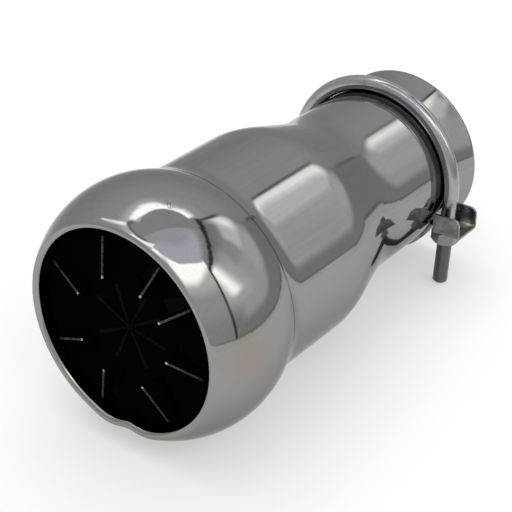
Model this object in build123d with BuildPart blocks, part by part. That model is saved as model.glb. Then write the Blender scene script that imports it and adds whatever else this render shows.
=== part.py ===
from build123d import *
from math import cos, hypot, pi, radians, sin, sqrt, tan
import os

# Driving sizes in millimetres
# The tube runs along Y and its mouth looks toward -Y. Y = 0 is the middle of the clamp rod.
overall_length = 175.5
sheet = 1.2

# Mouth, rolled lip and bulb
mouth_radius = 37.1
lip_roll_radius = 1.6
lip_return = 4.4
bulb_radius = 47.2
bulb_curve = 37.0
neck_curve = 20.0

# Straight body, shoulder and taper
body_radius = 41.5
shoulder_from_mouth = 85.5
shoulder_curve = 40.0
taper_length = 29.5
taper_curve = 60.0

# Inlet collar
collar_radius = 32.9
flare_length = 15.0
flare_rise = 1.3

# Finned disc behind the mouth
disc_thickness = 1.0
disc_clearance = 0.1
fin_inner_angles = (31, 61, 109, 154, 208, 245, 296, 349)
fin_outer_angles = (33, 61, 102, 152, 206, 250, 302, 350)
fin_inner_radius = 19.8
fin_outer_radius = 34.2
fin_thickness = 0.8
fin_inner_height = 5.5
fin_outer_height = 3.5
rib_radius = 16.0
rib_hub_width = 1.0
rib_tip_width = 2.2
rib_height = 0.7
rib_draft = 30.0

# Clamp: a rod bent over the collar, a strap under it and two nuts
clamp_from_inlet = 21.7
rod_diameter = 6.0
rod_clearance = 0.15
rod_lift = 0.25
leg_toe_in = 3.4
leg_tip_z = -40.6
leg_tip_chamfer = 0.9
strap_thickness = 1.0
strap_width = 5.0
strap_clearance = 0.05
strap_bend = 0.5
ear_width = 14.3
ear_reach = 44.3
ear_bottom_z = -16.0
ear_bend = 1.8
flange_top_z = -7.35
flange_corner = 2.5
leg_hole_diameter = 6.6
nut_sides = 6
nut_across_flats = 10.0
nut_height = 5.0
nut_chamfer_angle = 30.0
nut_clearance = 0.05

os.makedirs("parts", exist_ok=True)


def from_mouth(distance):
    """Y of a place that lies this far behind the front of the lip."""
    return distance + clamp_from_inlet - overall_length


def toward(start, end, distance):
    """The point this far from start on the line to end."""
    share = distance / hypot(end[0] - start[0], end[1] - start[1])
    return (start[0] + (end[0] - start[0]) * share, start[1] + (end[1] - start[1]) * share)


def slice_at(y):
    """The plane across the tube at this Y. It faces the mouth, with X across and Z up."""
    return Plane.XZ.offset(-y)


# Centres of the arcs along the outer profile, as (Y, radius)
lip_centre = (from_mouth(lip_roll_radius), mouth_radius + lip_roll_radius)
bulb_centre_radius = bulb_radius - bulb_curve
lip_rise = lip_centre[1] - bulb_centre_radius
bulb_centre_y = lip_centre[0] + sqrt((bulb_curve - lip_roll_radius) ** 2 - lip_rise**2)
bulb_centre = (bulb_centre_y, bulb_centre_radius)
neck_rise = body_radius + neck_curve - bulb_centre_radius
neck_centre_y = bulb_centre_y + sqrt((bulb_curve + neck_curve) ** 2 - neck_rise**2)
neck_centre = (neck_centre_y, body_radius + neck_curve)

# Ends of the arcs and straight runs
lip_meets_bulb = toward(bulb_centre, lip_centre, bulb_curve)
bulb_meets_neck = toward(bulb_centre, neck_centre, bulb_curve)
lip_end_y = lip_centre[0] + lip_return
shoulder_y = from_mouth(shoulder_from_mouth)
flare_start_y = clamp_from_inlet - flare_length
inlet_rim = (clamp_from_inlet, collar_radius + flare_rise)
flare_curve = (flare_length**2 + flare_rise**2) / (2 * flare_rise)

# Shell: the outer profile from the inlet to the lip, with its wall inside it, turned round Y
with BuildPart() as tip_shell:
    with BuildSketch(Plane.YZ):
        with BuildLine():
            RadiusArc(inlet_rim, (flare_start_y, collar_radius), flare_curve)
            FilletPolyline(
                (flare_start_y, collar_radius),
                (shoulder_y + taper_length, collar_radius),
                (shoulder_y, body_radius),
                (neck_centre_y, body_radius),
                radius=(taper_curve, shoulder_curve),
            )
            RadiusArc((neck_centre_y, body_radius), bulb_meets_neck, neck_curve)
            ThreePointArc(bulb_meets_neck, (bulb_centre_y, bulb_radius), lip_meets_bulb)
            RadiusArc(lip_meets_bulb, (lip_centre[0], mouth_radius), -lip_roll_radius)
            Line((lip_centre[0], mouth_radius), (lip_end_y, mouth_radius))
            offset(amount=sheet, side=Side.LEFT)
        make_face()
    revolve(axis=Axis.Y)
    split(bisect_by=slice_at(clamp_from_inlet), keep=Keep.TOP)
tip_shell.part.label = "tip_shell"

# Disc: it lies against the end of the rolled lip and just clears the bulb's wall
bulb_wall_curve = bulb_curve - sheet
bulb_wall_rise = sqrt(bulb_wall_curve**2 - (bulb_centre_y - lip_end_y) ** 2)
disc_radius = bulb_centre_radius + bulb_wall_rise - disc_clearance


def on_face(radius, angle):
    """The place on the disc's front face at this radius and angle."""
    return Vector(radius * cos(radians(angle)), lip_end_y, radius * sin(radians(angle)))


with BuildPart() as baffle_disc:
    with BuildSketch(slice_at(lip_end_y)):
        Circle(disc_radius)
    extrude(amount=-disc_thickness)
    for inner_angle, outer_angle in zip(fin_inner_angles, fin_outer_angles):
        fin_start = on_face(fin_inner_radius, inner_angle)
        fin_run = on_face(fin_outer_radius, outer_angle) - fin_start
        face = Plane(origin=fin_start, x_dir=fin_run, z_dir=(0, -1, 0))
        # The slot that the fin was cut from has the fin's own shape
        with BuildSketch(face):
            with BuildLine():
                Polyline(
                    (0, fin_thickness / 2),
                    (fin_run.length, fin_thickness / 2),
                    (fin_run.length, fin_thickness / 2 + fin_outer_height),
                    (0, fin_thickness / 2 + fin_inner_height),
                    close=True,
                )
            make_face()
        extrude(amount=-disc_thickness, mode=Mode.SUBTRACT)
        with BuildSketch(Plane(origin=fin_start, x_dir=fin_run, z_dir=-face.y_dir)):
            with BuildLine():
                Polyline(
                    (0, 0),
                    (fin_run.length, 0),
                    (fin_run.length, fin_outer_height),
                    (0, fin_inner_height),
                    close=True,
                )
            make_face()
        extrude(amount=fin_thickness / 2, both=True)
        # The pressed rib runs from the middle of the disc toward the fin
        with BuildSketch(Plane(origin=on_face(0, 0), x_dir=fin_start - on_face(0, 0), z_dir=(0, -1, 0))):
            with BuildLine():
                Polyline(
                    (0, -rib_hub_width / 2),
                    (rib_radius, -rib_tip_width / 2),
                    (rib_radius, rib_tip_width / 2),
                    (0, rib_hub_width / 2),
                    close=True,
                )
            make_face()
        extrude(amount=rib_height, taper=rib_draft)
baffle_disc.part.label = "baffle_disc"

# Clamp rod: a bow round the top of the collar and two legs that toe in below it
bow_radius = collar_radius + rod_clearance + rod_diameter / 2
toe_cos = cos(radians(leg_toe_in))
toe_sin = sin(radians(leg_toe_in))
leg_top_x = bow_radius * toe_cos
leg_top_z = rod_lift - bow_radius * toe_sin


def leg_x(z):
    """X of the right leg's middle at this height."""
    return leg_top_x - (leg_top_z - z) * tan(radians(leg_toe_in))


def leg_plane(side, z):
    """The plane across one leg at this height, facing down along the leg."""
    return Plane(
        origin=(side * leg_x(z), 0, z),
        x_dir=(side * toe_cos, 0, -toe_sin),
        z_dir=(-side * toe_sin, 0, -toe_cos),
    )


with BuildPart() as u_bolt:
    with BuildLine(Plane.XZ) as rod_path:
        Line((leg_x(leg_tip_z), leg_tip_z), (leg_top_x, leg_top_z))
        CenterArc((0, rod_lift), bow_radius, -leg_toe_in, 180 + 2 * leg_toe_in)
        Line((-leg_top_x, leg_top_z), (-leg_x(leg_tip_z), leg_tip_z))
    with BuildSketch(leg_plane(1, leg_tip_z)):
        Circle(rod_diameter / 2)
    sweep(path=rod_path.line)
    tip_edges = u_bolt.edges().filter_by(GeomType.CIRCLE).group_by(Axis.Z)[0]
    chamfer(tip_edges, leg_tip_chamfer)
u_bolt.part.label = "u_bolt"

# Saddle: a strap under the collar, with a flanged ear on each side for a leg
strap_inner = collar_radius + strap_clearance
ear_floor_z = ear_bottom_z + strap_thickness
bend_outer = strap_bend + strap_thickness
bend_z = ear_floor_z - bend_outer
bend_x = sqrt((strap_inner + bend_outer) ** 2 - bend_z**2)
bend_end = toward((0, 0), (bend_x, bend_z), strap_inner)
flange_height = flange_top_z - ear_bottom_z

with BuildPart() as saddle:
    with BuildSketch(Plane.XZ):
        with BuildLine():
            Line((ear_reach, ear_floor_z), (bend_x, ear_floor_z))
            RadiusArc((bend_x, ear_floor_z), bend_end, -bend_outer)
            ThreePointArc(bend_end, (0, -strap_inner), (-bend_end[0], bend_end[1]))
            RadiusArc((-bend_end[0], bend_end[1]), (-bend_x, ear_floor_z), -bend_outer)
            Line((-bend_x, ear_floor_z), (-ear_reach, ear_floor_z))
            offset(amount=strap_thickness, side=Side.LEFT)
        make_face()
    extrude(amount=strap_width / 2, both=True)
    for side in (1, -1):
        with BuildSketch(Plane.YZ.offset(side * strap_inner)) as ear_section:
            with Locations((0, ear_bottom_z + flange_height / 2)):
                Rectangle(ear_width, flange_height)
            fillet(ear_section.vertices().group_by(Axis.Y)[0], ear_bend)
            with Locations((0, ear_floor_z + flange_height / 2)):
                RectangleRounded(
                    ear_width - 2 * strap_thickness,
                    flange_height,
                    ear_bend - strap_thickness,
                    mode=Mode.SUBTRACT,
                )
        extrude(amount=side * (ear_reach - strap_inner))
        with BuildSketch(leg_plane(side, 0)):
            Circle(leg_hole_diameter / 2)
        extrude(amount=-leg_tip_z, mode=Mode.SUBTRACT)
    flange_corners = saddle.edges().filter_by(Axis.Y).group_by(Axis.Z)[-1].group_by(Axis.X)
    fillet(flange_corners[0] + flange_corners[-1], flange_corner)
saddle.part.label = "saddle"

# Nuts: they bear on the ears from below, each square to its own leg
nut_corner_radius = nut_across_flats / 2 / cos(pi / nut_sides)
nut_chamfer_rise = (nut_corner_radius - nut_across_flats / 2) * tan(radians(nut_chamfer_angle))
nut_top_z = ear_bottom_z - nut_across_flats / 2 * toe_sin - nut_clearance
nut_bore_radius = rod_diameter / 2 + nut_clearance


def hex_nut(side):
    """A hex nut on one leg, with both faces chamfered to a circle."""
    with BuildPart() as nut:
        seat = leg_plane(side, nut_top_z)
        with BuildSketch(seat):
            RegularPolygon(nut_across_flats / 2, nut_sides, major_radius=False, rotation=180 / nut_sides)
            Circle(nut_bore_radius, mode=Mode.SUBTRACT)
        extrude(amount=nut_height)
        with BuildSketch(Plane(origin=seat.origin, x_dir=seat.x_dir, z_dir=(0, side, 0))):
            with BuildLine():
                Polyline(
                    (0, 0),
                    (nut_across_flats / 2, 0),
                    (nut_corner_radius, nut_chamfer_rise),
                    (nut_corner_radius, nut_height - nut_chamfer_rise),
                    (nut_across_flats / 2, nut_height),
                    (0, nut_height),
                    close=True,
                )
            make_face()
        revolve(axis=Axis(seat.origin, seat.z_dir), mode=Mode.INTERSECT)
    return nut.part


nut_right = hex_nut(1)
nut_right.label = "nut_right"
nut_left = hex_nut(-1)
nut_left.label = "nut_left"

export_step(tip_shell.part, "parts/tip_shell.step")
export_step(baffle_disc.part, "parts/baffle_disc.step")
export_step(u_bolt.part, "parts/u_bolt.step")
export_step(saddle.part, "parts/saddle.step")
export_step(nut_right, "parts/nut_right.step")
export_step(nut_left, "parts/nut_left.step")
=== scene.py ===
"""An exhaust tip with its finned disc and clamp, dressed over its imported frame, with a stage to see it on."""

from math import asin, atan2, cos, pi, radians, sin, sqrt, tan

import bpy
import numpy as np
from mathutils import Matrix, Vector


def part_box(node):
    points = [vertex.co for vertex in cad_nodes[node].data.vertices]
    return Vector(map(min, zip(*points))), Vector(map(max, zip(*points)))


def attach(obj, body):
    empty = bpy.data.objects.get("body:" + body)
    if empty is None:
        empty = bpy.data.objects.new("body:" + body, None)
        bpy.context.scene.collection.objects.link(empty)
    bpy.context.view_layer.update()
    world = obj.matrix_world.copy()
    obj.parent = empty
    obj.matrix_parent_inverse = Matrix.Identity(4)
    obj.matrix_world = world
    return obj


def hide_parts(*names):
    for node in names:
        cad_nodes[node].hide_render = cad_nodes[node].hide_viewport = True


bl_info = {
    "name": "Exhaust Tip",
    "version": (1, 0, 0),
    "blender": (4, 5, 0),
    "location": "View3D > Sidebar > Exhaust Tip",
    "description": "Builds a chromed exhaust tip with a finned disc and a clamp",
    "category": "Add Mesh",
}

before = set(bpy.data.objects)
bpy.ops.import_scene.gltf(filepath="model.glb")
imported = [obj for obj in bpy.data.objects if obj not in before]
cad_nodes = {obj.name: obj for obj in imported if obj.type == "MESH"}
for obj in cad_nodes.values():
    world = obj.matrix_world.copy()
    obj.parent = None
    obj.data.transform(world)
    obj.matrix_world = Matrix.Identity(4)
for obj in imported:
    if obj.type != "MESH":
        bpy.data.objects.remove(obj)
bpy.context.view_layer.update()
shell_low, shell_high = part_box("tip_shell")
rod_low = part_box("u_bolt")[0]

WHITE = (1.0, 1.0, 1.0, 1.0)

# Marks on the finishes, painted reflections, highlights and shade among them, in metres. Places are (right, back from
# the mouth, up), pairs are where a mark starts and ends
# The patch on the bulb's right flank and its foot are a painted warm reflection on the chrome
WARM_REFLECTION_AT = (0.0445, 0.011, 0.004)
WARM_REFLECTION_REACH = 0.019
WARM_REFLECTION_STRENGTH = 0.75
FOOT_HEIGHT = (0.005, -0.03)
FOOT_FROM_MOUTH = (0.04, 0.015)
FOOT_STRENGTH = 0.4
SCRATCHES_AT = (0.0103, 0.014, 0.0448)
SCRATCHES_REACH = 0.0045
BARE_EDGE = (-0.00022, -0.00008)
# Where the painted highlight sits at each fin's inner corner
CORNER_GLINT = (0.0011, 0.0004)
EDGE_GRAIN = 0.00025
# Painted shade: below these heights the clamp is drawn darker
LOW_SHADE_HEIGHT = (-0.0125, -0.0165)
# A painted highlight on the saddle's inner bend, with its place and reach
BEND_HIGHLIGHT_AT = (0.0402, 0.0052, -0.0148)
BEND_HIGHLIGHT_REACH = (0.0034, 0.0016)

# How finely the pieces are built. These keep the shell under 200,000 triangles
SHELL_TURNS = 220
PROFILE_STEPS = {
    "return": 4,
    "lip": 26,
    "bulb": 90,
    "neck": 24,
    "body": 10,
    "shoulder": 12,
    "taper": 8,
    "taper end": 14,
    "collar": 12,
    "flare": 12,
}
ROD_SIDES = 40
BOW_STEPS = 60
STEPS_PER_THREAD = 8

# The stage, in metres, degrees and watts
BULB_FROM_MOUTH = 0.0217
FLOOR_REACH = 2.5
FLOOR_SIDES = 64
LAMP_POWER = 5.5
LAMP_SIZE = 1.2
LAMP_PLACE = (-0.3, 0.1, 1.3)
LAMP_TURN = (-5, -13, 0)
CAMERA_PLACE = (0.2754, -0.44423, 0.25804)
CAMERA_DIP = 29.872
CAMERA_TURN = 36.995


def length(name, default, description):
    """A size that a user may change, kept in metres."""
    return bpy.props.FloatProperty(
        name=name, description=description, default=default, min=0.0, precision=5, subtype="DISTANCE", unit="LENGTH"
    )


def angle(name, degrees, description):
    """An angle that a user may change."""
    return bpy.props.FloatProperty(name=name, description=description, default=radians(degrees), subtype="ANGLE")


def share(name, default, description):
    """A plain number from 0 to 1."""
    return bpy.props.FloatProperty(name=name, description=description, default=default, min=0.0, max=1.0)


def colour(name, default, description):
    """A linear colour."""
    return bpy.props.FloatVectorProperty(
        name=name, description=description, default=default, size=3, min=0.0, max=1.0, subtype="COLOR"
    )


class ShellSizes(bpy.types.PropertyGroup):
    mouth_radius: length("Mouth radius", 0.0371, "Inside of the rolled lip")
    lip_roll: length("Lip roll", 0.0016, "Outer radius of the roll round the mouth")
    lip_return: length("Lip return", 0.0044, "How far the lip runs back inside the mouth")
    bulb_curve: length("Bulb curve", 0.037, "Curve of the bulb along the tube")
    neck_curve: length("Neck curve", 0.020, "Hollow curve where the bulb meets the body")
    body_radius: length("Body radius", 0.0415, "Straight middle of the tube")
    shoulder: length("Shoulder", 0.0855, "From the mouth to the corner where the body begins to narrow")
    shoulder_curve: length("Shoulder curve", 0.040, "Rounding of the shoulder")
    taper: length("Taper", 0.0295, "Length of the narrowing part")
    taper_curve: length("Taper curve", 0.060, "Rounding where the taper meets the collar")
    collar_radius: length("Collar radius", 0.0329, "Outside of the inlet collar")
    flare: length("Flare", 0.015, "Length of the slight flare at the inlet")
    flare_rise: length("Flare rise", 0.0013, "How much the flare opens")
    sheet: length("Sheet", 0.0012, "Thickness of the metal")
    seat_rise: length("Seat rise", 0.00013, "How much the collar stands up under the clamp rod")
    seat_width: length("Seat width", 0.005, "How far that rise spreads along the collar")
    dent_depth: length("Dent depth", 0.0017, "How far the lip is pushed in at the bottom")
    dent_angle: angle("Dent angle", -88, "Place of the dent round the mouth, from the right side")
    dent_spread: angle("Dent spread", 8, "Half width of the dent")
    dent_front: length("Dent front", 0.003, "How far back the dent keeps its full depth")
    dent_reach: length("Dent reach", 0.012, "How far the dent runs back over the bulb")
    dent_end: length("Dent end", 0.045, "Where the last of the dent is gone")
    swell: length("Swell", 0.0005, "How far the lip stands out beside the dent")


class ClampSizes(bpy.types.PropertyGroup):
    rod_radius: length("Rod radius", 0.003, "Half the rod's diameter")
    bow_radius: length("Bow radius", 0.03605, "Radius of the bow at the rod's middle")
    bow_lift: length("Bow lift", 0.00003, "Height of the bow's centre over the tube's axis")
    toe_in: angle("Toe-in", 3.4, "How much each leg leans in")
    thread_length: length("Thread length", 0.030, "Threaded part of each leg")
    thread_fade: length("Thread fade", 0.002, "Where the thread runs out toward the bow")
    tip_chamfer: length("Tip chamfer", 0.0009, "Chamfer at the end of each leg")
    pitch: length("Pitch", 0.001, "From one thread to the next")
    groove: length("Groove", 0.00028, "Depth of the thread")


class Finishes(bpy.types.PropertyGroup):
    chrome: colour("Chrome", (0.295, 0.295, 0.295), "Polished chrome plate")
    chrome_edge: colour("Chrome edge", (0.66, 0.66, 0.66), "Chrome seen at a grazing angle")
    # Painted warm reflection: the chrome's colour where it stands in for mirrored warm surroundings
    warm_reflection: colour("Stain", (0.285, 0.255, 0.205), "Warm haze low on the bulb")
    soot: colour("Soot", (0.008, 0.0075, 0.007), "Bare wall inside the tube")
    black: colour("Black", (0.0018, 0.0018, 0.0018), "Black coat of the disc")
    rib: colour("Rib", (0.006, 0.006, 0.006), "Rubbed tops of the disc's ribs")
    # Painted highlight: the bright spot at each fin's inner corner
    bare: colour("Bare corner", (0.7, 0.7, 0.71), "Corners of the fins, worn bright")
    worn: colour("Worn edge", (0.1, 0.1, 0.1), "Cut edges of the fins")
    fin_inner_radius: length("Fin inner radius", 0.0198, "Where each fin begins")
    fin_outer_radius: length("Fin outer radius", 0.0342, "Where each fin ends")
    fin_inner_height: length("Fin inner height", 0.0055, "Height of a fin where it begins")
    fin_outer_height: length("Fin outer height", 0.0035, "Height of a fin where it ends")
    zinc: colour("Zinc", (0.34, 0.355, 0.36), "Plating of the clamp")
    # Painted shade: the darker colour of the nuts and the legs
    low_shade: colour("Oiled zinc", (0.13, 0.138, 0.127), "Darkened plating of the nuts and the legs")
    # Painted highlight: the bright cream colour on the saddle's inner bend
    bend_highlight: colour("Rubbed zinc", (0.66, 0.61, 0.52), "Rubbed inner bend of the saddle")
    dull: colour("Dull zinc", (0.235, 0.222, 0.195), "Handled and aged plating")


class StudioSettings(bpy.types.PropertyGroup):
    floor: colour("Floor", (0.5, 0.5, 0.5), "Pale floor")
    near_floor: length("Near floor", 0.25, "How far the floor that the chrome mirrors reaches")
    floor_glow: share("Floor glow", 0.42, "How much of its white the floor gives off by itself, to eye and mirror")
    lens: bpy.props.FloatProperty(name="Lens", description="Focal length in millimetres", default=101.18)


GROUPS = {
    "tip_shell_sizes": ShellSizes,
    "tip_clamp_sizes": ClampSizes,
    "tip_finishes": Finishes,
    "tip_studio": StudioSettings,
}


# Node helpers


class Web:
    """A node tree with short ways to add what the materials here use."""

    def __init__(self, owner):
        owner.use_nodes = True
        self.tree = owner.node_tree
        self.tree.nodes.clear()

    def node(self, kind, inputs=None, **settings):
        made = self.tree.nodes.new(kind)
        for name, value in settings.items():
            setattr(made, name, value)
        for name, value in (inputs or {}).items():
            self.feed(made.inputs[name], value)
        return made

    def feed(self, socket, value):
        if isinstance(value, bpy.types.NodeSocket):
            self.tree.links.new(value, socket)
        else:
            socket.default_value = value

    def math(self, operation, first, second=0.0):
        return self.node("ShaderNodeMath", {0: first, 1: second}, operation=operation).outputs[0]

    def ramp(self, value, low, high, start=0.0, end=1.0):
        """Smoothly from start to end while value goes from low to high."""
        made = self.node(
            "ShaderNodeMapRange",
            {"Value": value, "From Min": low, "From Max": high, "To Min": start, "To Max": end},
            interpolation_type="SMOOTHSTEP",
        )
        return made.outputs["Result"]

    def mix(self, factor, first, second):
        made = self.node("ShaderNodeMix", data_type="RGBA")
        self.feed(made.inputs[0], factor)
        self.feed(made.inputs[6], first)
        self.feed(made.inputs[7], second)
        return made.outputs[2]

    def noise(self, vector, scale, detail=2.0, roughness=0.5):
        made = self.node(
            "ShaderNodeTexNoise", {"Vector": vector, "Scale": scale, "Detail": detail, "Roughness": roughness}
        )
        return made.outputs["Fac"]

    def vector(self, operation, first, second=(0.0, 0.0, 0.0)):
        """Vector maths, which gives a number for a length, a distance or a dot product."""
        made = self.node("ShaderNodeVectorMath", {0: first, 1: second}, operation=operation)
        return made.outputs["Value" if operation in ("LENGTH", "DISTANCE", "DOT_PRODUCT") else "Vector"]

    def place(self):
        return self.node("ShaderNodeTexCoord").outputs["Object"]

    def output(self, kind, shader):
        """Ends the tree with a shader."""
        out = self.node(kind)
        self.tree.links.new(shader.outputs[0], out.inputs["Surface"])

    def surface(self, inputs):
        """Ends a material's tree with a principled shader."""
        self.output("ShaderNodeOutputMaterial", self.node("ShaderNodeBsdfPrincipled", inputs))


def rgba(value):
    return (*value, 1.0)


def chrome_material(finishes, plated_to):
    """Polished chrome with faint ripples of the pressed sheet, and a painted warm reflection, darker than the plate,
    on the bulb's right flank and foot. The wall behind the disc is bare and sooty.
    """
    material = bpy.data.materials.new("chrome_plate")
    web = Web(material)
    coordinates = web.node("ShaderNodeTexCoord").outputs
    place = coordinates["Object"]
    spot = web.node("ShaderNodeSeparateXYZ", {0: place}).outputs
    radial = web.node("ShaderNodeCombineXYZ", {0: spot["X"], 2: spot["Z"]}).outputs[0]
    facing = web.vector("DOT_PRODUCT", web.vector("NORMALIZE", radial), coordinates["Normal"])
    inner = web.math("MULTIPLY", web.ramp(facing, -0.2, -0.5), web.ramp(spot["Y"], plated_to, plated_to + 0.001))
    haze = web.noise(place, 90.0, 4.0, 0.6)

    def within(centre, reach):
        """Fades from 1 at a place to 0 at the reach, with a cloudy edge. The place counts Y from the mouth."""
        centre = (centre[0], shell_low[1] + centre[1], centre[2])
        gap = web.math("ADD", web.vector("DISTANCE", place, centre), web.math("MULTIPLY", haze, reach))
        return web.ramp(gap, reach * 1.5, reach * 0.5)

    # A painted warm reflection, darker than the plate, on the bulb's right flank and along its foot
    warm_reflection = web.math("MULTIPLY", within(WARM_REFLECTION_AT, WARM_REFLECTION_REACH), WARM_REFLECTION_STRENGTH)
    foot = web.ramp(spot["Y"], *(shell_low[1] + distance for distance in FOOT_FROM_MOUTH))
    foot = web.math("MULTIPLY", web.ramp(spot["Z"], *FOOT_HEIGHT), foot)
    warm = web.math("MAXIMUM", warm_reflection, web.math("MULTIPLY", foot, FOOT_STRENGTH))
    plated = web.mix(warm, rgba(finishes.chrome), rgba(finishes.warm_reflection))
    # Small scratches on its top, which follow the middle line of a noise
    thin = web.math("ABSOLUTE", web.math("SUBTRACT", web.noise(place, 380.0, 1.0), 0.5))
    scratch = web.math("MULTIPLY", web.ramp(thin, 0.012, 0.028, 1.0, 0.0), within(SCRATCHES_AT, SCRATCHES_REACH))
    plated = web.mix(web.math("MULTIPLY", scratch, 0.7), plated, rgba(finishes.soot))
    ripple = web.noise(place, 28.0, 2.0, 0.4)
    bump = web.node("ShaderNodeBump", {"Height": ripple, "Strength": 0.25, "Distance": 0.0004})
    web.surface(
        {
            "Base Color": web.mix(inner, plated, rgba(finishes.soot)),
            "Metallic": web.math("SUBTRACT", 1.0, inner),
            "Roughness": web.math("ADD", web.ramp(haze, 0.35, 0.75, 0.04, 0.09), web.math("MULTIPLY", inner, 0.5)),
            "Specular Tint": rgba(finishes.chrome_edge),
            "Normal": bump.outputs["Normal"],
        }
    )
    return material


def black_material(finishes, face_y):
    """Sooty black coat, worn to bare metal along the front edges of the fins, with a painted highlight at each fin's
    inner corner.
    """
    material = bpy.data.materials.new("black_coat")
    web = Web(material)
    place = web.place()
    spot = web.node("ShaderNodeSeparateXYZ", {0: place}).outputs
    radius = web.vector("LENGTH", web.node("ShaderNodeCombineXYZ", {0: spot["X"], 2: spot["Z"]}).outputs[0])
    grain = web.noise(place, 900.0, 3.0, 0.6)
    bump = web.node("ShaderNodeBump", {"Height": grain, "Strength": 0.3, "Distance": 0.0002})
    inner_radius, outer_radius = finishes.fin_inner_radius, finishes.fin_outer_radius
    # Height of a place over the disc, less the height of the fins' sloping edge there
    slope = (finishes.fin_inner_height - finishes.fin_outer_height) / (outer_radius - inner_radius)
    start = finishes.fin_inner_height + inner_radius * slope
    top = web.math("SUBTRACT", start, web.math("MULTIPLY", radius, slope))
    from_face = web.math("SUBTRACT", face_y, spot["Y"])
    worn = web.math("SUBTRACT", web.math("SUBTRACT", from_face, top), web.math("MULTIPLY", grain, EDGE_GRAIN))
    bare = web.ramp(worn, *BARE_EDGE)
    # The bare line is brightest at its inner end, where a painted highlight lights the fin's corner, and broken and
    # fainter toward the wall
    corner = web.ramp(radius, *(inner_radius + width for width in CORNER_GLINT))
    patchy = web.ramp(web.noise(place, 260.0, 3.0, 0.7), 0.36, 0.6, 0.15, 1.0)
    outward = web.ramp(radius, inner_radius, outer_radius, 0.1, 0.75)
    faded = web.math("MULTIPLY", outward, web.math("SUBTRACT", 1.2, patchy))
    edge = web.mix(corner, web.mix(faded, rgba(finishes.worn), rgba(finishes.black)), rgba(finishes.bare))
    # The ribs stand on the hub, inside the fins
    rib = web.ramp(from_face, 0.0003, 0.0006)
    rib = web.math("MULTIPLY", rib, web.ramp(radius, inner_radius, inner_radius - 0.002))
    coat = web.mix(rib, rgba(finishes.black), rgba(finishes.rib))
    web.surface(
        {
            "Base Color": web.mix(bare, coat, edge),
            "Roughness": 0.7,
            "Specular IOR Level": 0.0,
            "Normal": bump.outputs["Normal"],
        }
    )
    return material


def zinc_material(finishes, name, dull, low_shade=1.0, polish=0.2, bend_highlight_at=None):
    """Zinc plate with a fine grain, duller where it has aged, with painted shade that makes it darker from the nuts
    down, and a painted highlight on the saddle's inner bend where one is asked for.
    """
    material = bpy.data.materials.new(name)
    web = Web(material)
    place = web.place()
    cloud = web.noise(place, 160.0, 4.0, 0.6)
    grain = web.noise(place, 1500.0, 3.0, 0.6)
    bump = web.node("ShaderNodeBump", {"Height": grain, "Strength": 0.25, "Distance": 0.0001})
    aged = web.ramp(cloud, 0.62 - dull * 0.4, 0.82 - dull * 0.4)
    height = web.node("ShaderNodeSeparateXYZ", {0: place}).outputs["Z"]
    # Painted shade, darker from the nuts down
    low = web.math("MULTIPLY", web.ramp(height, *LOW_SHADE_HEIGHT), low_shade)
    plated = web.mix(aged, rgba(finishes.zinc), rgba(finishes.dull))
    # A painted highlight on the saddle's inner bend
    if bend_highlight_at:
        gap = web.vector("DISTANCE", place, bend_highlight_at)
        plated = web.mix(web.ramp(gap, *BEND_HIGHLIGHT_REACH), plated, rgba(finishes.bend_highlight))
    web.surface(
        {
            "Base Color": web.mix(low, plated, rgba(finishes.low_shade)),
            "Metallic": 1.0,
            "Roughness": web.math("ADD", web.ramp(aged, 0.0, 1.0, polish, 0.42), web.math("MULTIPLY", low, 0.12)),
            "Normal": bump.outputs["Normal"],
        }
    )
    return material


# Form helpers


def arc(centre, radius, start, end, count):
    """Points on an arc in the plane of Y and radius, without its first point."""
    turns = np.linspace(start, end, count + 1)[1:]
    return [(centre[0] + radius * cos(t), centre[1] + radius * sin(t)) for t in turns]


def run(start, end, count):
    """Points on a straight run, without its first point."""
    reach = (end[0] - start[0], end[1] - start[1])
    return [(start[0] + reach[0] * k / count, start[1] + reach[1] * k / count) for k in range(1, count + 1)]


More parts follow.
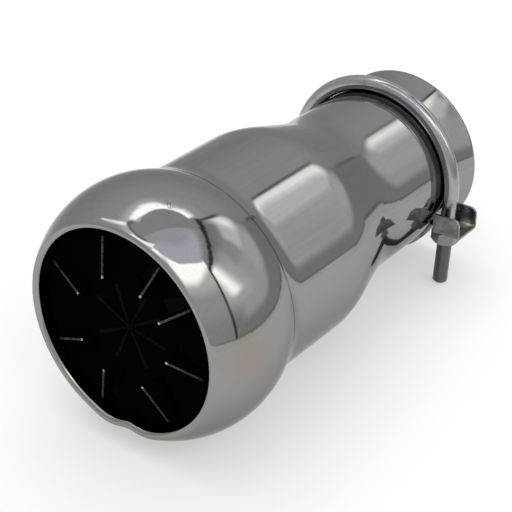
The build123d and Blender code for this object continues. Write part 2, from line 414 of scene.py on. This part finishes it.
def shell_outline(sizes, bulb_radius, total):
    """The shell's outer line from the lip's inner edge to the inlet, as (distance from the mouth, radius)."""
    steps = PROFILE_STEPS
    roll = sizes.lip_roll
    lip = (roll, sizes.mouth_radius + roll)
    # Centres of the lip, bulb and neck arcs, each tangent to the one before it
    bulb_up = bulb_radius - sizes.bulb_curve
    bulb = (roll + sqrt((sizes.bulb_curve - roll) ** 2 - (lip[1] - bulb_up) ** 2), bulb_up)
    neck_up = sizes.body_radius + sizes.neck_curve
    neck = (bulb[0] + sqrt((sizes.bulb_curve + sizes.neck_curve) ** 2 - (neck_up - bulb[1]) ** 2), neck_up)
    to_lip = atan2(lip[1] - bulb[1], lip[0] - bulb[0])
    to_neck = atan2(neck[1] - bulb[1], neck[0] - bulb[0])
    fall = atan2(sizes.body_radius - sizes.collar_radius, sizes.taper)
    shoulder_run = sizes.shoulder_curve * tan(fall / 2)
    taper_run = sizes.taper_curve * tan(fall / 2)
    flare_curve = (sizes.flare**2 + sizes.flare_rise**2) / (2 * sizes.flare_rise)
    points = [(roll + sizes.lip_return, sizes.mouth_radius)]
    points += run(points[-1], (roll, sizes.mouth_radius), steps["return"])
    points += arc(lip, roll, -pi / 2, to_lip - 2 * pi, steps["lip"])
    points += arc(bulb, sizes.bulb_curve, to_lip, to_neck, steps["bulb"])
    points += arc(neck, sizes.neck_curve, to_neck + pi, 1.5 * pi, steps["neck"])
    points += run(points[-1], (sizes.shoulder - shoulder_run, sizes.body_radius), steps["body"])
    shoulder = (sizes.shoulder - shoulder_run, sizes.body_radius - sizes.shoulder_curve)
    points += arc(shoulder, sizes.shoulder_curve, pi / 2, pi / 2 - fall, steps["shoulder"])
    taper = (sizes.shoulder + sizes.taper + taper_run, sizes.collar_radius + sizes.taper_curve)
    taper_start = (taper[0] - sizes.taper_curve * sin(fall), taper[1] - sizes.taper_curve * cos(fall))
    points += run(points[-1], taper_start, steps["taper"])
    points += arc(taper, sizes.taper_curve, 1.5 * pi - fall, 1.5 * pi, steps["taper end"])
    points += run(points[-1], (total - sizes.flare, sizes.collar_radius), steps["collar"])
    flare = (total - sizes.flare, sizes.collar_radius + flare_curve)
    points += arc(flare, flare_curve, 1.5 * pi, 1.5 * pi + asin(sizes.flare / flare_curve), steps["flare"])
    return np.array(points)


def closed_section(outer, sheet, edge=0.0002):
    """The outer line, a softened end and the inner line back to the lip."""
    steps = np.gradient(outer, axis=0)
    steps /= np.linalg.norm(steps, axis=1)[:, None]
    inward = np.c_[steps[:, 1], -steps[:, 0]]
    inner = outer + inward * sheet
    inner = inner[::-1]
    mouth_end = [outer[0] + inward[0] * edge, outer[0] + inward[0] * (sheet - edge)]
    rim_end = [outer[-1] + inward[-1] * edge, outer[-1] + inward[-1] * (sheet - edge)]
    first = outer.copy()
    first[0] = outer[0] + steps[0] * edge
    first[-1] = outer[-1] - steps[-1] * edge
    inner[0] = inner[0] - steps[-1] * edge
    inner[-1] = inner[-1] + steps[0] * edge
    return np.vstack([first, rim_end, inner, mouth_end[::-1]])


def lathe(name, section, mouth_y, turns, shift):
    """Turns a closed section round the Y axis. shift(angle, distance, radius) gives each ring point its radius."""
    count = len(section)
    angles = np.linspace(0, 2 * pi, turns, endpoint=False)
    turn_grid, place_grid = np.meshgrid(angles, section[:, 0])
    radius_grid = shift(turn_grid, place_grid, np.repeat(section[:, 1][:, None], turns, axis=1))
    points = np.stack(
        [radius_grid * np.cos(turn_grid), mouth_y + place_grid, radius_grid * np.sin(turn_grid)], axis=-1
    ).reshape(-1, 3)
    rows, columns = np.meshgrid(np.arange(count), np.arange(turns), indexing="ij")
    here = rows * turns + columns
    right = rows * turns + (columns + 1) % turns
    below = ((rows + 1) % count) * turns + columns
    corner = ((rows + 1) % count) * turns + (columns + 1) % turns
    faces = np.stack([here, right, corner, below], axis=-1).reshape(-1, 4)
    return mesh_object(name, points, faces)


def mesh_object(name, points, faces):
    """A smooth shaded object from its points and faces."""
    mesh = bpy.data.meshes.new(name)
    mesh.from_pydata([tuple(p) for p in points], [], [tuple(int(i) for i in f) for f in faces])
    mesh.validate()
    mesh.update()
    mesh.polygons.foreach_set("use_smooth", [True] * len(mesh.polygons))
    made = bpy.data.objects.new(name, mesh)
    bpy.context.scene.collection.objects.link(made)
    return made


def soften_node(node, width, material):
    """Welds, bevels and smooths a node of the frame by modifiers, and gives it its finish."""
    weld = node.modifiers.new("Weld", "WELD")
    weld.merge_threshold = 0.00001
    bevel = node.modifiers.new("Bevel", "BEVEL")
    bevel.width = width
    bevel.segments = 2
    bevel.limit_method = "ANGLE"
    bevel.angle_limit = radians(40)
    bevel.harden_normals = True
    paint(node, material)


def paint(piece, material):
    """Gives a piece its one finish."""
    piece.data.materials.clear()
    piece.data.materials.append(material)


# Pieces


class TIP_OT_shell(bpy.types.Operator):
    """Chromed shell: bulb, body, taper and collar in one sheet, with a dent under its lip"""

    bl_idname = "exhaust_tip.shell"
    bl_label = "Chromed Shell"

    def execute(self, context):
        scene = context.scene
        sizes = scene.tip_shell_sizes
        mouth_y, inlet_y = shell_low[1], shell_high[1]
        total = inlet_y - mouth_y
        section = closed_section(shell_outline(sizes, shell_high[0], total), sizes.sheet)
        section[:, 0] = np.clip(section[:, 0], 0, total)

        def dented(turn, distance, radius):
            """The radius with the dent, the swell beside it and the rise under the rod, which lies at Y 0."""
            from_dent = (turn - sizes.dent_angle + pi) % (2 * pi) - pi
            back = 1 / (1 + (np.maximum(distance - sizes.dent_front, 0) / sizes.dent_reach) ** 2)
            push = sizes.dent_depth * np.exp(-((from_dent / sizes.dent_spread) ** 2))
            swell = sizes.swell * np.exp(-(((from_dent + 2 * sizes.dent_spread) / sizes.dent_spread) ** 2))
            swell = swell * np.clip(1 - distance / sizes.dent_reach, 0, 1)
            fade = np.clip(1 - distance / sizes.dent_end, 0, 1) ** 2
            seat = sizes.seat_rise * np.exp(-(((distance + mouth_y) / sizes.seat_width) ** 2))
            return radius - (push - swell) * back * fade + seat * np.clip(np.sin(turn) * 4, 0, 1)

        shell = lathe("chrome_shell", section, mouth_y, SHELL_TURNS, dented)
        paint(shell, chrome_material(scene.tip_finishes, mouth_y + sizes.lip_roll + sizes.lip_return))
        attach(shell, "root")
        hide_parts("tip_shell")
        return {"FINISHED"}


class TIP_OT_disc(bpy.types.Operator):
    """Finned disc behind the mouth, black with bare fin edges"""

    bl_idname = "exhaust_tip.disc"
    bl_label = "Finned Disc"

    def execute(self, context):
        disc = cad_nodes["baffle_disc"]
        finishes = context.scene.tip_finishes
        face_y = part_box("baffle_disc")[0][1] + finishes.fin_inner_height
        paint(disc, black_material(finishes, face_y))
        return {"FINISHED"}


class TIP_OT_rod(bpy.types.Operator):
    """Clamp rod with a thread on each leg"""

    bl_idname = "exhaust_tip.rod"
    bl_label = "Clamp Rod"

    def execute(self, context):
        scene = context.scene
        sizes = scene.tip_clamp_sizes
        lean = sizes.toe_in
        top = (sizes.bow_radius * cos(lean), sizes.bow_lift - sizes.bow_radius * sin(lean))
        leg = (top[1] - rod_low[2]) / cos(lean) - sizes.rod_radius * sin(lean)
        # Each station is a place, a direction and its distance from the leg's tip, from one tip to the other
        stations = []
        fine = sizes.pitch / STEPS_PER_THREAD
        down = Vector((-sin(lean), 0, -cos(lean)))
        leg_top = Vector((top[0], 0, top[1]))
        steps = int(sizes.thread_length / fine)
        for k in range(steps + 1):
            stations.append((leg_top + down * (leg - k * fine), -down, k * fine))
        rest = leg - sizes.thread_length
        for part in (0.25, 0.5, 0.75, 1.0):
            stations.append((leg_top + down * (rest * (1 - part)), -down, sizes.thread_length + rest * part))
        for k in range(1, BOW_STEPS + 1):
            turn = -lean + (pi / 2 + lean) * k / BOW_STEPS
            stations.append(
                (
                    Vector((sizes.bow_radius * cos(turn), 0, sizes.bow_lift + sizes.bow_radius * sin(turn))),
                    Vector((-sin(turn), 0, cos(turn))),
                    leg + sizes.bow_radius * (turn + lean),
                )
            )
        mirrored = [(Vector((-p.x, 0, p.z)), Vector((d.x, 0, -d.z)), s) for p, d, s in reversed(stations[:-1])]
        stations += mirrored
        turns = np.linspace(0, 2 * pi, ROD_SIDES, endpoint=False)
        points = []
        for place, direction, from_tip in stations:
            across = Vector((0, 1, 0))
            normal = direction.cross(across)
            fade = min(max((sizes.thread_length - from_tip) / sizes.thread_fade, 0), 1)
            phase = (from_tip / sizes.pitch - turns / (2 * pi)) % 1.0
            cut = sizes.groove * (1 - np.abs(2 * phase - 1)) * fade
            radius = sizes.rod_radius - np.maximum(cut, max(sizes.tip_chamfer - from_tip, 0))
            for turn, reach in zip(turns, radius):
                points.append(place + (normal * cos(turn) + across * sin(turn)) * float(reach))
        rings = len(stations)
        after = [(k + 1) % ROD_SIDES for k in range(ROD_SIDES)]
        faces = []
        for first in range(0, (rings - 1) * ROD_SIDES, ROD_SIDES):
            second = first + ROD_SIDES
            faces += [(first + k, first + after[k], second + after[k], second + k) for k in range(ROD_SIDES)]
        points += [stations[0][0], stations[-1][0]]
        start, end = len(points) - 2, len(points) - 1
        last = (rings - 1) * ROD_SIDES
        for k in range(ROD_SIDES):
            faces += [(start, after[k], k), (end, last + k, last + after[k])]
        rod = mesh_object("clamp_rod", points, faces)
        paint(rod, zinc_material(scene.tip_finishes, "zinc_rod", 0.1, 1.0, 0.1))
        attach(rod, "root")
        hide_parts("u_bolt")
        return {"FINISHED"}


class TIP_OT_saddle(bpy.types.Operator):
    """Pressed saddle under the collar"""

    bl_idname = "exhaust_tip.saddle"
    bl_label = "Saddle"

    def execute(self, context):
        # The saddle gets a painted highlight on its inner bend
        material = zinc_material(context.scene.tip_finishes, "zinc_saddle", 0.6, 0.0, bend_highlight_at=BEND_HIGHLIGHT_AT)
        soften_node(cad_nodes["saddle"], 0.00025, material)
        return {"FINISHED"}


class TIP_OT_nuts(bpy.types.Operator):
    """Hex nuts on the clamp's legs"""

    bl_idname = "exhaust_tip.nuts"
    bl_label = "Nuts"

    def execute(self, context):
        material = zinc_material(context.scene.tip_finishes, "zinc_nut", 0.3, 0.55)
        for name in ("nut_right", "nut_left"):
            soften_node(cad_nodes[name], 0.00015, material)
        return {"FINISHED"}


# Stage


class Tent:
    """The surroundings that the chrome mirrors, by bearing (0 along +Y, 90 along +X) and level, in degrees.

    Tones are written as the chrome shows them, from 0 to 255. Each part of the tent is laid over the ones before it.
    """

    CEILING = (67, 69)  # Levels between which the left wall gives way to the ceiling
    CORNER = (90, 91.5)  # Bearings between which the right wall gives way to the next one
    GROUND = -10.0  # Level of the ground's far edge
    EULER = 2.718

    def __init__(self, world, chrome):
        self.chrome = chrome
        self.web = web = Web(world)
        self.direction = web.node("ShaderNodeTexCoord").outputs["Generated"]
        axes = web.node("ShaderNodeSeparateXYZ", {0: self.direction}).outputs
        self.level = web.math("MULTIPLY", web.math("ARCSINE", axes["Z"]), 180 / pi)
        self.bearing = web.math("MULTIPLY", web.math("ARCTAN2", axes["X"], axes["Y"]), 180 / pi)
        self.wobble = web.math("SUBTRACT", web.noise(self.direction, 9.0, 3.0), 0.5)
        self.fold = web.math("SUBTRACT", web.noise(self.direction, 15.0, 1.0, 0.5), 0.5)
        # Edges that several parts share
        self.back_top = self.line(self.over(self.bearing, -1.0, -112.0), 0.17, 59.0)
        drop = self.line(web.math("POWER", self.over(self.bearing, 1.0, -28.0), 2.0), -0.0042, 62.6)
        self.wall_top = web.math("ADD", drop, web.math("MULTIPLY", self.fold, 4.0))
        lean = web.math("MULTIPLY", self.over(self.level, 1.0, -38.0), 0.45)
        self.wall_left = web.math("ADD", web.ramp(self.level, -4, 24, -11, 4), lean)
        self.ground_edge = self.line(self.fold, 2.5, self.GROUND)

    def seen(self, value, red=0.0, blue=0.0):
        """The linear colour that the chrome shows as this tone, with a share more red or blue."""
        tone = ((value / 255 + 0.055) / 1.055) ** 2.4 / self.chrome
        return (tone * (1 + red), tone, tone * (1 + blue), 1.0)

    def line(self, value, factor, start):
        """factor times value plus start."""
        return self.web.math("ADD", self.web.math("MULTIPLY", value, factor), start)

    def over(self, value, factor, start):
        """factor times value plus start, and 0 where that is below 0."""
        return self.web.math("MAXIMUM", self.line(value, factor, start), 0.0)

    def both(self, *masks):
        """Where all the masks are."""
        result = masks[0]
        for mask in masks[1:]:
            result = self.web.math("MULTIPLY", result, mask)
        return result

    def above(self, value, edge, soft):
        """Where value is over the edge."""
        return self.web.ramp(self.web.math("SUBTRACT", value, edge), -soft, soft)

    def between(self, value, low, high, soft_low, soft_high):
        """Where value is between two edges, each with its own softness."""
        under = self.web.math("SUBTRACT", 1.0, self.above(value, high, soft_high))
        return self.both(self.above(value, low, soft_low), under)

    def near(self, value, edge, half, soft):
        """Where value is within half of the edge."""
        gap = self.web.math("ABSOLUTE", self.web.math("SUBTRACT", value, edge))
        return self.web.ramp(gap, half - soft, half + soft, 1.0, 0.0)

    def bell(self, squared):
        """1 at 0, falling off to nothing."""
        return self.web.math("POWER", self.EULER, self.web.math("MULTIPLY", squared, -1.0))

    def glow(self, bearing_centre, bearing_spread, level_centre, up, down):
        """A soft round light that spreads differently up and down."""
        web = self.web
        a = web.math("DIVIDE", web.math("SUBTRACT", self.bearing, bearing_centre), bearing_spread)
        b = web.math("SUBTRACT", self.level, level_centre)
        b = web.math("MAXIMUM", web.math("DIVIDE", b, up), web.math("DIVIDE", b, -down))
        return self.bell(web.math("ADD", web.math("MULTIPLY", a, a), web.math("MULTIPLY", b, b)))

    def left_wall(self):
        """Left wall, lighter toward its top, with a gray wall and a dark line where it turns behind the object."""
        web, seen, level, bearing = self.web, self.seen, self.level, self.bearing
        tone = web.mix(web.ramp(level, 15, 45), seen(119), seen(129))
        top_tone = web.mix(web.ramp(bearing, -66, -44), seen(166), seen(140))
        tone = web.mix(web.ramp(level, 49, 59), tone, top_tone)
        foot = self.both(web.ramp(level, 5, -8), web.ramp(bearing, -48, -64))
        tone = web.mix(foot, tone, seen(131))
        behind = web.ramp(bearing, -106, -112)
        tone = web.mix(self.both(behind, self.above(level, self.back_top, 0.6)), tone, seen(123))
        on_edge = self.near(level, self.back_top, 1.0, 0.8)
        return web.mix(self.both(behind, web.ramp(bearing, -172, -160), on_edge, 0.75), tone, seen(62))

    def ceiling(self, tone):
        """Ceiling, lilac on the right and behind."""
        web, seen, level, bearing = self.web, self.seen, self.level, self.bearing
        tone = web.mix(web.ramp(level, *self.CEILING), tone, seen(123))
        height = web.math("SUBTRACT", level, self.wall_top)
        over_wall = self.above(height, 0.0, 1.0)
        tone = web.mix(self.both(self.above(bearing, 8.0, 3.0), over_wall), tone, seen(120))
        lilac_left = web.math("ADD", 38.0, web.math("MULTIPLY", self.over(height, -1.0, 8.0), 3.5))
        lilac = self.both(self.above(bearing, lilac_left, 7.0), over_wall)
        lilac_tone = web.mix(web.ramp(height, 3, 15), seen(114, 0.03, 0.07), seen(155, 0.03, 0.14))
        tone = web.mix(lilac, tone, lilac_tone)
        lilac_behind = self.both(web.ramp(bearing, -148, -153), web.ramp(level, *self.CEILING))
        overhead = web.math("MAXIMUM", web.ramp(level, 69, 78), web.ramp(bearing, -100, -140))
        lilac = self.both(web.math("MAXIMUM", lilac, lilac_behind), overhead)
        return web.mix(lilac, tone, seen(142, 0.02, 0.11))

    def strip_lamp(self, tone):
        """Strip lamp over the left wall, broken on its right half, with a streak and a dark end."""
        web, seen, level, bearing = self.web, self.seen, self.level, self.bearing
        low_edge = web.math("ADD", web.ramp(bearing, -60, -38, 59.6, 63.4), web.math("MULTIPLY", self.wobble, 5.0))
        high_edge = web.math("ADD", web.ramp(bearing, -108, -80, 64.8, 68.2), web.ramp(bearing, -60, -20, 0.0, 0.6))
        strip = self.both(self.near(bearing, -49.0, 55.0, 3.0), self.between(level, low_edge, high_edge, 2.8, 0.9))
        dim = self.both(self.glow(-30, 14, 63, 4, 4), web.ramp(self.wobble, -0.2, 0.15))
        tone = web.mix(strip, tone, web.mix(dim, seen(251), seen(190)))
        streak = web.math("SUBTRACT", bearing, self.line(level, -0.75, -69.5))
        streak = web.math("DIVIDE", streak, web.ramp(level, 40, 57, 0.9, 3.0))
        streak = self.both(self.near(streak, 0.0, 1.0, 0.6), self.between(level, 38, 58, 1.5, 1.0))
        tone = web.mix(streak, tone, seen(232))
        return web.mix(self.glow(-110, 4, 61.5, 2.2, 2.2), tone, seen(80))

    def right_wall(self, tone):
        """Right wall: shaded low on its left, with a pale patch, a window and a bright corner."""
        web, seen, level, bearing = self.web, self.seen, self.level, self.bearing
        shade = web.math("SUBTRACT", bearing, self.over(level, -1.5, 30.5))
        wall = web.mix(web.ramp(shade, 0, 18), seen(106), seen(141))
        toward_corner = self.both(web.ramp(bearing, 44, 62), self.between(level, 13, 42, 3, 6))
        wall = web.mix(toward_corner, wall, seen(151))
        upper = self.both(web.ramp(level, 27, 38), web.ramp(bearing, 62, 50))
        wall = web.mix(upper, wall, seen(128))
        patch = self.both(self.between(bearing, 7, 35, 3, 5), self.between(level, 30, 48, 4, 3))
        wall = web.mix(patch, wall, seen(170, 0.01, -0.05))
        height = web.math("SUBTRACT", level, web.math("MULTIPLY", self.over(bearing, -1.0, 30.0), 0.4))
        wall = web.mix(web.ramp(height, 44, 56), wall, seen(108))
        middle = self.both(web.ramp(shade, 5, 19), web.ramp(bearing, 41, 34), self.between(level, 13, 29, 4, 4))
        wall = web.mix(middle, wall, seen(149, 0.01, -0.03))
        wall = web.mix(web.ramp(level, 5, -3), wall, seen(108))
        window = self.glow(12.5, 5.5, 39, 13, 6.5)
        wall = web.mix(window, wall, seen(222, 0.0, -0.03))
        corner_foot = self.both(web.ramp(bearing, 70, 82), web.ramp(level, 18, 2))
        wall = web.mix(corner_foot, wall, seen(113))
        leaning = self.line(web.math("SUBTRACT", bearing, web.math("MULTIPLY", level, 0.5)), 1.0, -65.0)
        corner = self.bell(web.math("POWER", web.math("DIVIDE", leaning, 8.5), 2.0))
        corner = self.both(corner, self.between(level, 20.2, 46.5, 3.0, 4.0))
        wall = web.mix(corner, wall, seen(244, 0.01, -0.06))
        before_corner = web.ramp(bearing, *self.CORNER, 1.0, 0.0)
        under_top = self.above(self.wall_top, level, 1.0)
        return web.mix(self.both(self.above(bearing, self.wall_left, 1.2), before_corner, under_top), tone, wall)

    def next_wall(self, tone):
        """Next wall, with the front lamp along its top, which runs on behind the camera."""
        web, seen, level, bearing = self.web, self.seen, self.level, self.bearing
        wall = web.mix(web.ramp(level, 0, 18), seen(121), seen(134))
        wall = web.mix(web.ramp(level, 24, 38), wall, seen(165, 0.01, -0.04))
        wall = web.mix(web.ramp(bearing, 126, 145), wall, seen(133))
        beyond = self.both(web.ramp(bearing, *self.CORNER), web.ramp(level, 57, 55, 0.0, 1.0))
        tone = web.mix(beyond, tone, wall)
        rise = self.over(bearing, 1.0, -131.0)
        lamp_low = web.math("ADD", web.ramp(bearing, 90, 118, 48.0, 39.5), web.math("MULTIPLY", rise, 0.9))
        lamp_high = web.math("ADD", web.ramp(bearing, 90, 122, 53.8, 56.8), web.math("MULTIPLY", rise, 0.2))
        lamp_low, lamp_high = web.math("MINIMUM", lamp_low, 60.0), web.math("MINIMUM", lamp_high, 65.0)
        lamp = self.both(web.ramp(bearing, 91, 92.5), self.between(level, lamp_low, lamp_high, 4.5, 0.8))
        tone = web.mix(lamp, tone, seen(250, 0.01, -0.06))
        back_low = self.line(self.over(bearing, -1.0, -138.0), 0.18, 57.5)
        band = self.near(level, self.line(back_low, 1.0, 2.0), 2.2, 0.8)
        back = self.both(web.ramp(bearing, -132, -138), band, self.above(self.back_top, level, 0.6))
        return web.mix(back, tone, seen(235))

    def ground(self, tone):
        """Ground, out to its far edge."""
        beyond = self.above(self.level, self.ground_edge, 0.7)
        return self.web.mix(self.web.math("SUBTRACT", 1.0, beyond), tone, self.seen(146))

    def seams(self, tone):
        """Dark seams where the walls meet the ceiling, the ground and each other."""
        web, seen, level, bearing = self.web, self.seen, self.level, self.bearing
        top = self.both(self.near(level, self.wall_top, 2.1, 1.4), self.between(bearing, 11, 91, 1.5, 1.5))
        left = self.both(self.near(bearing, self.wall_left, 1.9, 1.3), self.between(level, 40, 61, 8, 1))
        left_low = self.both(self.near(bearing, self.wall_left, 0.9, 0.8), self.between(level, -8, 12, 2, 4), 0.8)
        corner_line = web.ramp(level, -10, 30, 89.5, 91.5)
        corner = self.both(self.near(bearing, corner_line, 1.3, 0.9), self.between(level, -10, 48, 1, 2))
        foot = self.both(self.near(level, self.ground_edge, 0.8, 0.7), self.between(bearing, 4, 113, 3, 4), 0.5)
        tone = web.mix(top, tone, seen(42))
        tone = web.mix(web.math("MAXIMUM", left, left_low), tone, seen(66))
        return web.mix(web.math("MAXIMUM", corner, foot), tone, seen(40))

    def build(self):
        """Lays the parts over each other. The camera itself sees plain white behind the object."""
        web = self.web
        tone = self.left_wall()
        for part in (self.ceiling, self.strip_lamp, self.right_wall, self.next_wall, self.ground, self.seams):
            tone = part(tone)
        cloth = web.ramp(web.noise(self.direction, 26.0, 4.0, 0.65), 0.25, 0.75, 0.94, 1.06)
        camera_ray = web.node("ShaderNodeLightPath").outputs["Is Camera Ray"]
        strength = web.math("MAXIMUM", camera_ray, cloth)
        shown = {"Color": web.mix(camera_ray, tone, WHITE), "Strength": strength}
        background = web.node("ShaderNodeBackground", shown)
        web.output("ShaderNodeOutputWorld", background)


class TIP_OT_stage(bpy.types.Operator):
    """Pale floor, light tent and camera"""

    bl_idname = "exhaust_tip.stage"
    bl_label = "Stage"

    def execute(self, context):
        scene = context.scene
        studio = scene.tip_studio
        self.add_floor(studio)
        world = bpy.data.worlds.new("light_tent")
        scene.world = world
        Tent(world, scene.tip_finishes.chrome[1]).build()
        self.add_lamp(scene)
        self.add_camera(scene, studio)
        scene.view_settings.view_transform = "Standard"
        return {"FINISHED"}

    def add_floor(self, studio):
        """A floor that touches the bulb's underside and the leg tips, white to the camera and in the chrome."""
        bulb_y = shell_low[1] + BULB_FROM_MOUTH
        lean = atan2((rod_low[2] - shell_low[2]) / (0 - bulb_y), 1)
        placed = Matrix.Translation((0, bulb_y, shell_low[2])) @ Matrix.Rotation(lean, 4, "X")
        turns = [2 * pi * k / FLOOR_SIDES for k in range(FLOOR_SIDES)]
        rings = []
        for reach in (0.0, studio.near_floor, FLOOR_REACH):
            rings.append([(reach * cos(turn), reach * sin(turn), 0.0) for turn in turns])
        after = [(k + 1) % FLOOR_SIDES for k in range(FLOOR_SIDES)]
        faces = [(k, after[k], FLOOR_SIDES + after[k], FLOOR_SIDES + k) for k in range(FLOOR_SIDES)]
        material = bpy.data.materials.new("floor")
        web = Web(material)
        path = web.node("ShaderNodeLightPath").outputs
        shown = web.math("MAXIMUM", path["Is Camera Ray"], path["Is Glossy Ray"])
        shown = web.math("MAXIMUM", shown, path["Is Transmission Ray"])
        web.surface(
            {
                "Base Color": rgba(studio.floor),
                "Roughness": 0.9,
                "Specular IOR Level": 0.0,
                "Emission Color": WHITE,
                "Emission Strength": web.math("MULTIPLY", shown, studio.floor_glow),
            }
        )
        # The floor in reach of the object, and the rest, which the chrome doesn't mirror
        for name, inner, outer in (("floor", rings[0], rings[1]), ("far_floor", rings[1], rings[2])):
            floor = mesh_object(name, inner + outer, faces)
            floor.matrix_world = placed
            paint(floor, material)
        floor.visible_glossy = False

    def add_lamp(self, scene):
        """One wide lamp overhead, out of the chrome's sight."""
        lamp_data = bpy.data.lights.new("overhead", "AREA")
        lamp_data.energy = LAMP_POWER
        lamp_data.size = LAMP_SIZE
        lamp = bpy.data.objects.new("overhead", lamp_data)
        scene.collection.objects.link(lamp)
        lamp.location = LAMP_PLACE
        lamp.rotation_euler = [radians(degrees) for degrees in LAMP_TURN]
        lamp.visible_glossy = False

    def add_camera(self, scene, studio):
        """The photo's camera, from a fit of the outline, the mouth and the clamp."""
        camera_data = bpy.data.cameras.new("camera")
        camera_data.lens = studio.lens
        camera_data.sensor_width = 36.0
        camera_data.clip_start = 0.01
        camera = bpy.data.objects.new("camera", camera_data)
        scene.collection.objects.link(camera)
        camera.location = CAMERA_PLACE
        camera.rotation_euler = (radians(90 - CAMERA_DIP), 0, radians(CAMERA_TURN))
        scene.camera = camera


OPERATORS = (TIP_OT_shell, TIP_OT_disc, TIP_OT_rod, TIP_OT_saddle, TIP_OT_nuts, TIP_OT_stage)


class TIP_PT_panel(bpy.types.Panel):
    """Lists the pieces and their sizes"""

    bl_idname = "TIP_PT_panel"
    bl_label = "Exhaust Tip"
    bl_space_type = "VIEW_3D"
    bl_region_type = "UI"
    bl_category = "Exhaust Tip"

    def draw(self, context):
        for operator in OPERATORS:
            self.layout.operator(operator.bl_idname)
        for group, kind in GROUPS.items():
            box = self.layout.box()
            for name in kind.__annotations__:
                box.prop(getattr(context.scene, group), name)


CLASSES = (*GROUPS.values(), *OPERATORS, TIP_PT_panel)


def register():
    for item in CLASSES:
        bpy.utils.register_class(item)
    for name, kind in GROUPS.items():
        setattr(bpy.types.Scene, name, bpy.props.PointerProperty(type=kind))


def unregister():
    for name in GROUPS:
        delattr(bpy.types.Scene, name)
    for item in reversed(CLASSES):
        bpy.utils.unregister_class(item)


def main():
    register()
    bpy.ops.exhaust_tip.shell()
    bpy.ops.exhaust_tip.disc()
    bpy.ops.exhaust_tip.rod()
    bpy.ops.exhaust_tip.saddle()
    bpy.ops.exhaust_tip.nuts()
    bpy.ops.exhaust_tip.stage()
    bpy.context.view_layer.update()


if __name__ == "__main__":
    main()
